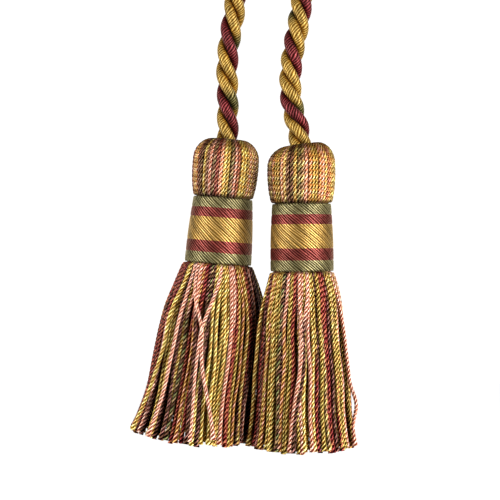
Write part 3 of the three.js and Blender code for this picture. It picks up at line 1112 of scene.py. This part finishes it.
def band_surface(tassel, heights):
    """Points of a band from its foot up its outside and down its inside, and its floats' crests."""
    foot, taper = tassel["band_foot"], tassel["band_top"] - tassel["band_foot"]
    slant = math.tan(math.radians(FLOAT_SLANT_DEG)) / (foot + taper / 2)
    column = np.arange(FLOATS * FLOAT_POINTS)
    around = TURN * column / len(column)
    float_place = column % FLOAT_POINTS / FLOAT_POINTS
    crest = np.sin(math.pi * float_place)

    up = heights[:, None] / BAND_HEIGHT
    edges = np.cumsum([0] + [height for _, height in STRIPES])
    at_edge = np.min(np.abs(heights[:, None] - edges), axis=1) < ROUNDING
    between_stripes = at_edge.copy()
    between_stripes[[0, -1]] = False
    radius = foot + taper * up + BAND_SWELL * 4 * up * (1 - up)
    radius = radius - FLOAT_HEIGHT * (1 - crest) - STRIPE_GROOVE * at_edge[:, None]
    phase = heights[:, None] / FLOAT_WAVE + FLOAT_PHASES * chance(column // FLOAT_POINTS, 9)
    angle = around - slant * BAND_HEIGHT * (up - 1) + FLOAT_WAVER * np.sin(TURN * phase)
    notch = STRIPE_NOTCH * (float_place - 0.5) * between_stripes[:, None]
    z = BAND_HEIGHT * (up - 1) + notch

    inner_up = np.linspace(1, 0, INNER_ROWS)[:, None] + np.zeros(len(column))
    radius = np.vstack([radius, foot + taper * inner_up - BAND_THICKNESS])
    angle = np.vstack([angle, around - slant * BAND_HEIGHT * (inner_up - 1)])
    z = np.vstack([z, BAND_HEIGHT * (inner_up - 1)])
    points = hung(tassel, np.stack([radius * np.cos(angle), radius * np.sin(angle), z], axis=-1))
    return points, np.tile(crest, (len(points), 1))


def ring_quads(rows, columns):
    """Corners of the quads of a ring whose rows close on themselves as its columns do."""
    here = np.arange(rows * columns).reshape(rows, columns)
    above = np.roll(here, -1, axis=0)
    return np.stack([here, np.roll(here, -1, axis=1), np.roll(above, -1, axis=1), above], axis=-1)


def band_maps(heights, columns):
    """A band's own map, in columns and millimetres, and its bake map."""
    over = BAND_HEIGHT + BAND_THICKNESS
    up = np.concatenate([heights, over + BAND_HEIGHT * np.linspace(0, 1, INNER_ROWS), [2 * over]])
    own = corner_map(columns, up).reshape(-1, 2)
    return own, own / (columns, up[-1])


def make_band(side, materials):
    tassel = TASSELS[side]
    heights, stripes = stripe_rows()
    points, crest = band_surface(tassel, heights)
    rows, columns = crest.shape
    count = rows * columns
    quads = ring_quads(rows, columns).ravel()
    mesh = filled_mesh(f"braid_{side}", points.reshape(-1, 3), quads, np.full(count, 4))
    mesh.polygons.foreach_set("use_smooth", np.ones(count, bool))
    worn = np.concatenate([stripes, stripes[-1:], np.repeat(stripes[:1], INNER_ROWS)])
    dye_names = list(materials)
    slots = np.array([dye_names.index(STRIPES[number][0]) for number in worn])
    mesh.polygons.foreach_set("material_index", np.repeat(slots, columns).astype(np.int32))
    own_map, bake_map = band_maps(heights, columns)
    add_uv(mesh, "yarn", own_map)
    add_uv(mesh, "OFBake", bake_map)
    add_crest(mesh, crest)
    shade = 1 + FLOAT_SHADES * chance(np.arange(columns) // FLOAT_POINTS, 3)
    add_tint(mesh, np.tile(shade[:, None], (rows, 3)))
    mesh.update(calc_edges=True)
    braid = finished_piece(f"braid_{side}", mesh, list(materials.values()))
    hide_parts(f"band_{side}")


# Stage, lights and camera

PIXELS_PER_MM = 3.0
PHOTO_PIXELS = 500
VIEW_MIDDLE = np.array((-6.0, 0.0, -116.67))
CAMERA_DISTANCE = 420.0
CAMERA_RISE_DEG = 0.5
CAMERA_CLIP_START = 0.01
SENSOR_WIDTH = 36.0
WHITE = (1.0, 1.0, 1.0, 1.0)
STAGE_WHITE = (0.9, 0.9, 0.9, 1.0)
STAGE_ROUGHNESS = 0.9
FLOOR_Z = -330.0
FLOOR_SIZE = 3000.0
FLOOR_GLOW = 0.9
SURROUND_RADIUS = 4000.0
SURROUND_SEGMENTS = 48
SURROUND_GLOW = 1.0
WORLD_STRENGTH = 0.08
# Soft lights: degrees round from the camera's side, height over the view's middle, width, power
LIGHTS = {
    "softbox_left": (-66, 60, 300, 6.5),
    "softbox_right": (43, 60, 420, 11.0),
    "rim_left": (-140, 40, 300, 1.5),
    "rim_right": (140, 40, 300, 1.5),
}
LIGHT_DISTANCE = 600
LIGHT_TALL = 620


def set_stage(name, glow):
    """Makes the active object a white piece of the stage that throws no light on the tassels."""
    material, _, shader = shader_of(f"white_{name}")
    shader.inputs["Base Color"].default_value = STAGE_WHITE
    shader.inputs["Roughness"].default_value = STAGE_ROUGHNESS
    shader.inputs["Emission Color"].default_value = WHITE
    shader.inputs["Emission Strength"].default_value = glow
    piece = bpy.context.active_object
    piece.name = name
    piece.data.materials.append(material)
    piece.visible_diffuse = False
    piece.visible_glossy = False
    piece.visible_shadow = False


def make_stage():
    """A pale floor well below the tassels and a white surround."""
    bpy.ops.object.select_all(action="DESELECT")
    bpy.ops.mesh.primitive_plane_add(size=FLOOR_SIZE * METRES, location=(0, 0, FLOOR_Z * METRES))
    set_stage("floor", FLOOR_GLOW)
    bpy.ops.object.select_all(action="DESELECT")
    bpy.ops.mesh.primitive_uv_sphere_add(
        segments=SURROUND_SEGMENTS,
        ring_count=SURROUND_SEGMENTS // 2,
        radius=SURROUND_RADIUS * METRES,
    )
    set_stage("surround", SURROUND_GLOW)


def placed(name, data, place):
    """A camera or lamp at a place, facing the middle of the view, upright."""
    holder = bpy.data.objects.new(name, data)
    bpy.context.scene.collection.objects.link(holder)
    x, y, z = VIEW_MIDDLE - place
    holder.location = place * METRES
    holder.rotation_euler = (math.pi / 2 + math.atan2(z, math.hypot(x, y)), 0.0, math.atan2(-x, y))
    return holder


def make_lights():
    for name, (turn_deg, height, width, power) in LIGHTS.items():
        light = bpy.data.lights.new(name, "AREA")
        light.shape = "RECTANGLE"
        light.size = width * METRES
        light.size_y = LIGHT_TALL * METRES
        light.energy = power
        turn = math.radians(turn_deg)
        away = (LIGHT_DISTANCE * math.sin(turn), -LIGHT_DISTANCE * math.cos(turn), height)
        placed(name, light, VIEW_MIDDLE + away)
    world = bpy.data.worlds.new("studio")
    world.use_nodes = True
    background = world.node_tree.nodes["Background"]
    background.inputs["Color"].default_value = WHITE
    background.inputs["Strength"].default_value = WORLD_STRENGTH
    bpy.context.scene.world = world


def make_camera():
    camera = bpy.data.cameras.new("camera")
    camera.sensor_width = SENSOR_WIDTH
    camera.lens = SENSOR_WIDTH * CAMERA_DISTANCE * PIXELS_PER_MM / PHOTO_PIXELS
    camera.clip_start = CAMERA_CLIP_START
    rise = math.radians(CAMERA_RISE_DEG)
    away = CAMERA_DISTANCE * np.array([0, -math.cos(rise), math.sin(rise)])
    bpy.context.scene.camera = placed("camera", camera, VIEW_MIDDLE + away)


def main():
    make_camera()
    make_lights()
    make_stage()
    bpy.context.scene.view_settings.view_transform = "Standard"
    yarns = {name: satin_yarn(name, **look) for name, look in YARN_LOOKS.items()}
    braid = {name: woven_stripe(f"braid_{name}", dye) for name, dye in BRAID_DYES.items()}
    make_cord(yarns["cord_yarn"])
    for side in TASSELS:
        make_head(side, yarns["head_yarn"])
        make_skirt(side, yarns["tassel_yarn"])
        make_band(side, braid)


main()
